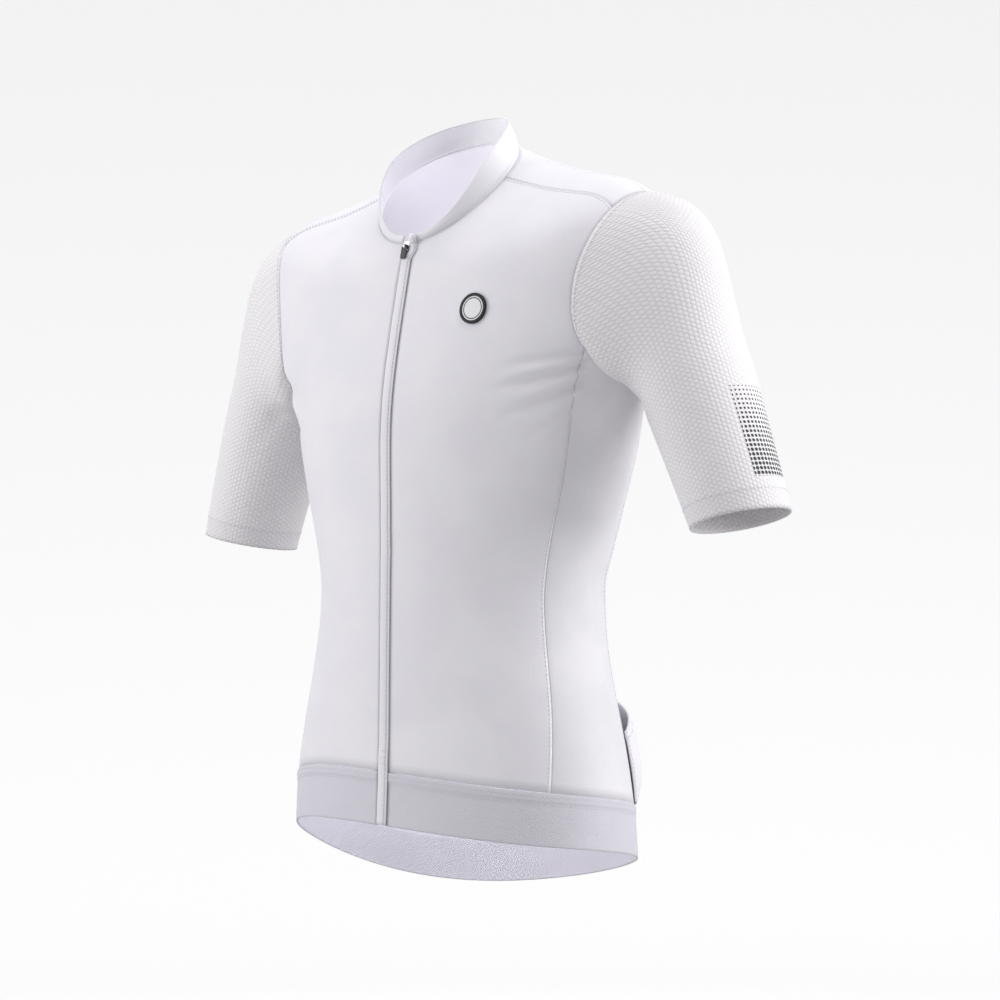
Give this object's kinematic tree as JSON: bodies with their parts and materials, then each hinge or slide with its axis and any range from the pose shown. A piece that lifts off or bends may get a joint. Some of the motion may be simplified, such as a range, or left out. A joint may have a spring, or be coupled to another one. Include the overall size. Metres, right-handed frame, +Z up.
{
  "type": "cycling jersey",
  "caption": "Short-sleeved cycling jersey in off-white cloth with a full front zip, mesh sleeves, a printed chest badge and back pockets, filled out as if worn.",
  "frame": {"origin": "middle of the neck opening, at the height where the shoulder meets the collar", "axes": "+Z up out of the neck opening, front towards -Y, the wearer's left towards +X"},
  "size_m": [0.6934, 0.2317, 0.7072],
  "materials": {
    "body_cloth": "fine smooth polyester knit, off-white",
    "mesh_cloth": "dimpled mesh knit, off-white",
    "band_cloth": "twilled elastic band, pale cool grey",
    "zip_tape": "woven zip tape, light grey",
    "zip_teeth": "moulded nylon coil, grey",
    "slider_metal": "satin silver",
    "pull_rubber": "moulded, dark grey",
    "badge_print": "heat-pressed print in black and white rings"
  },
  "bodies": {
    "jersey": {"front_left": "body_cloth", "front_right": "body_cloth", "side_left": "mesh_cloth", "side_right": "mesh_cloth", "back": "body_cloth", "collar": "body_cloth", "sleeve_left": "mesh_cloth", "sleeve_right": "mesh_cloth", "hem_band": "band_cloth", "pocket_left": "body_cloth", "pocket_centre": "body_cloth", "pocket_right": "body_cloth", "zip_tape_left": "zip_tape", "zip_tape_right": "zip_tape", "zip_coil": "zip_teeth", "zip_flap": "body_cloth", "slider": "slider_metal", "chest_badge": "badge_print"},
    "pull_tab": {"pull_tab": "pull_rubber"}
  },
  "joints": [
    {"name": "pull_tab_swing", "type": "hinge", "parent": "jersey", "child": "pull_tab", "pos_m": [0, -0.05164, -0.06263], "axis": [-1, 0, 0], "range_deg": [0, 170]}
  ]
}
